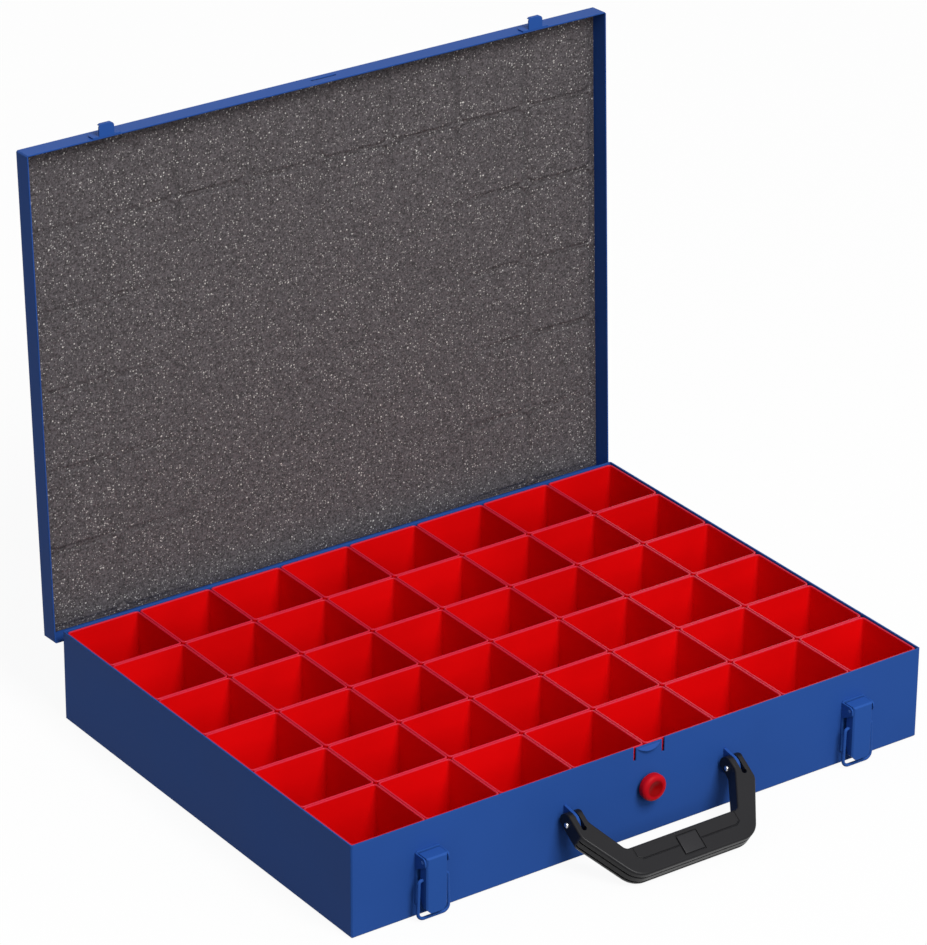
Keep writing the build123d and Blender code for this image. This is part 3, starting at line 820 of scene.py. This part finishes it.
# %% Draw the grip's outline
pivot_y, pivot_z = -172.6, 32.4
pivot = Vector((0.0, pivot_y, pivot_z)) * millimetre
rest_angle = math.radians(56.2)
thickness = 14.5
face = thickness / 2
fork_x, fork_width = 61.3, 10.6
fork_near, fork_far = fork_x - fork_width / 2, fork_x + fork_width / 2
fork_top = thickness
grip_inner, grip_outer = 29.5, 49.6
half_inner, half_outer = 42.6, 44.9
straight_inner, straight_outer = 5.0, 13.9
fork_bend, outer_bend, inner_bend = 8.0, 15.0, 4.0
back_round, front_round = 3.6, 1.4

outer = rounded_line(
    [
        (fork_far, fork_top, 0),
        (fork_far, -straight_outer, 0),
        (half_outer, -grip_outer, 0),
        (-half_outer, -grip_outer, 0),
        (-fork_far, -straight_outer, 0),
        (-fork_far, fork_top, 0),
    ],
    [fork_bend, outer_bend, outer_bend, fork_bend],
    steps=10,
)
inner = rounded_line(
    [
        (-fork_near, fork_top, 0),
        (-fork_near, -straight_inner, 0),
        (-half_inner, -grip_inner, 0),
        (half_inner, -grip_inner, 0),
        (fork_near, -straight_inner, 0),
        (fork_near, fork_top, 0),
    ],
    [fork_bend, inner_bend, inner_bend, fork_bend],
    steps=8,
)
print("outline", len(outer) + len(inner), "points")

# %% Raise the slab


def inset(outline, depth):
    """A closed line that runs clockwise, moved inwards."""
    moved = []
    for before, point, after in zip([outline[-1], *outline], outline, [*outline[1:], outline[0]]):
        ahead = (point - before).normalized() + (after - point).normalized()
        inward = Vector((ahead.y, -ahead.x, 0))
        moved.append(point + inward * 2 * depth / ahead.length_squared)
    return moved


def level_ring(outline, depth, level):
    """The outline moved inwards, as a ring at one level."""
    return [(point.x, point.y, level) for point in inset(outline, depth)]


def slab(outline, low, high, low_round, high_round):
    """A slab with an outline in the plane of the grip's face, and with both edges rounded."""
    rings = []
    turn = quarter_turn(5)
    for angle in turn:
        level = low + low_round * (1 - math.cos(angle))
        rings.append(level_ring(outline, low_round * (1 - math.sin(angle)), level))
    for angle in reversed(turn):
        level = high - high_round * (1 - math.cos(angle))
        rings.append(level_ring(outline, high_round * (1 - math.sin(angle)), level))
    mesh = bmesh.new()
    join_rings(mesh, rings)
    return mesh


body = slab([*outer, *inner], -face, face, back_round, front_round)
print("slab", len(body.faces), "faces")

# %% Shape the round ends and the slots of the forks
beside, below = 90, 80
slot_half, slot_end_radius, slot_depth = 1.35, 1.75, 7.9
slot_top, slot_through = 30, 20
slot_arc = range(51, 310, 18)
eye_steps = 24

half_turn = [step * math.pi / eye_steps for step in range(eye_steps + 1)]
eye = [(face * math.sin(angle), face * math.cos(angle)) for angle in half_turn]
ends_profile = [*eye, (0, -thickness), (-below, -thickness), (-below, thickness), (0, thickness)]
ends = bmesh.new()
join_rings(ends, [[(x, up, level) for up, level in ends_profile] for x in (-beside, beside)])

cuts = bmesh.new()
for side in (-1, 1):
    x = side * fork_x
    key = [(x + slot_half, slot_top)]
    for degrees in slot_arc:
        angle = math.radians(degrees)
        key.append((x + slot_end_radius * math.sin(angle), -slot_depth + slot_end_radius * math.cos(angle)))
    key.append((x - slot_half, slot_top))
    join_rings(cuts, [[(*point, level) for point in key] for level in (-slot_through, slot_through)])
print("cut for the ends", len(ends.faces), "faces")

# %% Run the grooves and the line on the face
groove_levels = (-2.6, 2.6)
groove_depth, groove_half, groove_start = 1.1, 0.65, -1.0
line_half, line_bottom_half, line_depth, line_above = 0.8, 0.15, 0.6, 0.2
line_far, line_turn, line_bend = 38.8, 35.6, 1.2
line_top, line_side, line_low = -30.4, -37.3, -39.1


def channel(mesh, line, profile):
    """A bar along a line, from pairs of a distance to its right and a level."""
    rings = []
    for point, ahead in walk(line):
        right = Vector((ahead.y, -ahead.x, 0))
        rings.append([point + right * across + Vector((0, 0, level)) for across, level in profile])
    join_rings(mesh, rings)


outer_side = [point for point in outer if point.y < -straight_outer + 1]
middles = [(point + after) / 2 for point, after in zip(outer_side, outer_side[1:])]
for level in groove_levels:
    channel(cuts, middles, [
        (groove_start, level - groove_half),
        (groove_depth, level - groove_half),
        (groove_depth, level + groove_half),
        (groove_start, level + groove_half),
    ])
print("cut for the slots and grooves", len(cuts.faces), "faces")

face_line = rounded_line(
    [
        (-line_far, line_top, 0),
        (-line_far, line_side, 0),
        (-line_turn, line_low, 0),
        (line_turn, line_low, 0),
        (line_far, line_side, 0),
        (line_far, line_top, 0),
    ],
    [line_bend] * 4,
    steps=4,
)
face_cut = bmesh.new()
channel(face_cut, face_line, [
    (-line_half, face + line_above),
    (-line_bottom_half, face - line_depth),
    (line_bottom_half, face - line_depth),
    (line_half, face + line_above),
])
print("cut for the line", len(face_cut.faces), "faces")

# %% Sink the pocket of the pad
pad_middle = -(grip_inner + grip_outer) / 2
pocket_half_x, pocket_half_y, pocket_depth = 8.1, 7.1, 0.7
past_face = 1


def pad_square(half_x, half_y):
    """Corners of a rectangle about the middle of the grip's face, clockwise."""
    sides = ((1, 1), (1, -1), (-1, -1), (-1, 1))
    return [Vector((x * half_x, pad_middle + y * half_y, 0)) for x, y in sides]


pocket = bmesh.new()
pocket_corners = pad_square(pocket_half_x, pocket_half_y)
join_rings(pocket, [[(corner.x, corner.y, level) for corner in pocket_corners]
                    for level in (face - pocket_depth, face + past_face)])
print("cut for the pocket", len(pocket.faces), "faces")

# %% Cut the grip


def loose_shape(name, mesh):
    """The grip's slab or a shape that cuts it: each is taken away again once the grip is cut."""
    bmesh.ops.recalc_face_normals(mesh, faces=mesh.faces)
    data = bpy.data.meshes.new(name)
    mesh.to_mesh(data)
    mesh.free()
    made = bpy.data.objects.new(name, data)
    bpy.context.scene.collection.objects.link(made)
    return made


grip = loose_shape("fine_handle_grip", body)
cutters = [
    (loose_shape("ends", ends), "INTERSECT"),
    (loose_shape("slots_and_grooves", cuts), "DIFFERENCE"),
    (loose_shape("face_line", face_cut), "DIFFERENCE"),
    (loose_shape("pocket", pocket), "DIFFERENCE"),
]
for cutter, operation in cutters:
    cut = grip.modifiers.new(cutter.name, "BOOLEAN")
    cut.object = cutter
    cut.operation = operation
    cut.solver = "EXACT"
cut_data = bpy.data.meshes.new_from_object(grip.evaluated_get(bpy.context.evaluated_depsgraph_get()))
bpy.data.objects.remove(grip)
for cutter, operation in cutters:
    bpy.data.objects.remove(cutter)
print("grip cut to", len(cut_data.polygons), "faces")

# %% Finish the grip
hang = Matrix(((1, 0, 0, 0), (0, 0, -1, 0), (0, 1, 0, 0), (0, 0, 0, 1)))
in_millimetres = Matrix.Scale(millimetre, 4)
grip_place = Matrix.Translation(pivot) @ Matrix.Rotation(-rest_angle, 4, "X") @ hang @ in_millimetres


def set_on_handle(name, mesh, finish, smooth):
    """A piece of the handle, drawn in the plane of the grip's face and turned up with it."""
    bmesh.ops.transform(mesh, matrix=grip_place, verts=mesh.verts)
    bmesh.ops.recalc_face_normals(mesh, faces=mesh.faces)
    made = piece(name, mesh, finish, "grip_plastic", smooth)
    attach(made, "handle")
    return made


whole = bmesh.new()
whole.from_mesh(cut_data)
fine_grip = set_on_handle("fine_handle_grip", whole, grip_plastic, smooth=math.radians(35))
weighted = fine_grip.modifiers.new("even", "WEIGHTED_NORMAL")
weighted.keep_sharp = True
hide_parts("handle_grip")

# %% [markdown]
# ## The pad
# A pad of its own sits in the pocket in the middle of the grip's face. It could be raised out of the grip's
# own mesh, but as a piece of its own it leaves a fine dark gap around itself and has a coarser grain, as
# a pressed-in plate does. It is a small slab, made as the grip's was.

# %% Set the pad on the grip's face
pad_half_x, pad_half_y = 7.2, 6.2
pad_root, pad_proud, pad_round = 1, 0.4, 0.5
pad = slab(pad_square(pad_half_x, pad_half_y), face - pad_root, face + pad_proud, pad_round, pad_round)
set_on_handle("grip_pad", pad, pad_plastic, smooth=math.radians(40))

# %% [markdown]
# ## The handle's pins
# Each fork turns on a short steel pin whose domed ends show as bright points on both sides. A cylinder
# has a flat end that is either all bright or all dark, so the ends are rings on a low dome.

# %% Turn the handle's pins
pin_radius, pin_reach, pin_steps = 1.7, 6.0, 24
dome = [(0.3, 0.5), (0.8, 0.42), (1.25, 0.27), (1.58, 0.1), (pin_radius, -0.1)]


def pin_ring(radius, x):
    """Circle about the axis on which the handle turns."""
    return [(x, pivot_y + radius * math.cos(angle), pivot_z + radius * math.sin(angle))
            for angle in full_turn(pin_steps)]


for side, sign in (("left", -1), ("right", 1)):
    rings = [pin_ring(radius, sign * fork_x - pin_reach - out) for radius, out in dome]
    rings += [pin_ring(radius, sign * fork_x + pin_reach + out) for radius, out in reversed(dome)]
    name = f"handle_pin_{side}"
    skin(f"fine_{name}", [rings], zinc_steel, "zinc_steel", name, "handle")

# %% [markdown]
# ## The light
# The picture is a cut-out on white, lit softly from the front and from above, with the left side in half
# shade. Sunlight or a spot would draw hard edges of shadow, so the lamps are large squares. A weaker one
# low in front keeps the lid's flange from shading the foam, and another behind the case keeps its back
# readable.

# %% Set the lamps
case_middle = Vector((0.0, 0.0, 0.08))


def lamp(name, place, size, power):
    """A square area lamp that looks at the middle of the case."""
    light = bpy.data.lights.new(name, "AREA")
    light.shape = "SQUARE"
    light.size = size
    light.energy = power
    hung = bpy.data.objects.new(name, light)
    bpy.context.scene.collection.objects.link(hung)
    hung.location = place
    hung.rotation_euler = (case_middle - Vector(place)).to_track_quat("-Z", "Y").to_euler()
    print(name, power, "watts")


lamp("key_lamp", (0.15, -2.889, 3.527), size=1.8, power=152.0)
lamp("front_lamp", (-0.2, -4.167, 1.766), size=1.35, power=36.0)
lamp("back_lamp", (0.3, 4.2, 1.1), size=1.35, power=42.0)

# %% [markdown]
# ## The white around the case
# More light on a white floor would bring the white about, but would wash out the colours as well. So the
# world and the floor are white only for rays that come from the camera or from a shiny surface, and dim
# for the light that falls on the case. A small share of the floor takes a shadow, which sets the case down.

# %% Light the world
white = (1.0, 1.0, 1.0, 1.0)
light_from_world, white_seen = 0.36, 1.0


def looked_at(ground):
    """1 for what the camera sees, itself or in metal and glass; 0 for the light that falls on things."""
    seen = ground.node("ShaderNodeLightPath", output="Is Camera Ray")
    gloss = ground.node("ShaderNodeLightPath", output="Is Glossy Ray")
    through = ground.node("ShaderNodeLightPath", output="Is Transmission Ray")
    return (seen + gloss + through).maths("MINIMUM", 1.0)


world = bpy.data.worlds.new("studio")
bpy.context.scene.world = world
world.use_nodes = True
sky = Finish("studio", world.node_tree)
lit = sky.node("ShaderNodeBackground", inputs={"Color": white, "Strength": light_from_world})
shown = sky.node("ShaderNodeBackground", inputs={"Color": white, "Strength": white_seen})
both = sky.node("ShaderNodeMixShader", inputs={0: looked_at(sky), 1: lit, 2: shown})
sky.node("ShaderNodeOutputWorld", inputs={"Surface": both})
print("world lights with", light_from_world, "and is seen as", white_seen)

# %% Lay the floor
floor_half, floor_drop = 6.0, 0.0005
shadow_share = 0.07
floor_mesh = bmesh.new()
bmesh.ops.create_grid(floor_mesh, x_segments=1, y_segments=1, size=floor_half)
floor_data = bpy.data.meshes.new("floor")
floor_mesh.to_mesh(floor_data)
floor_mesh.free()
floor = bpy.data.objects.new("floor", floor_data)
floor.location.z = -floor_drop
bpy.context.scene.collection.objects.link(floor)
ground = Finish("ground")
dim = ground.node("ShaderNodeBsdfDiffuse", inputs={"Color": opaque((0.15, 0.15, 0.15))})
shaded = ground.node("ShaderNodeBsdfDiffuse", inputs={"Color": opaque((0.9, 0.9, 0.9))})
bright = ground.node("ShaderNodeEmission", inputs={"Color": white, "Strength": white_seen})
shown = ground.node("ShaderNodeMixShader", inputs={0: shadow_share, 1: bright, 2: shaded})
both = ground.node("ShaderNodeMixShader", inputs={0: looked_at(ground), 1: dim, 2: shown})
ground.node("ShaderNodeOutputMaterial", inputs={"Surface": both})
floor_data.materials.append(ground.material)
bpy.context.scene.view_settings.view_transform = "Standard"
print("floor", 2 * floor_half, "m wide")
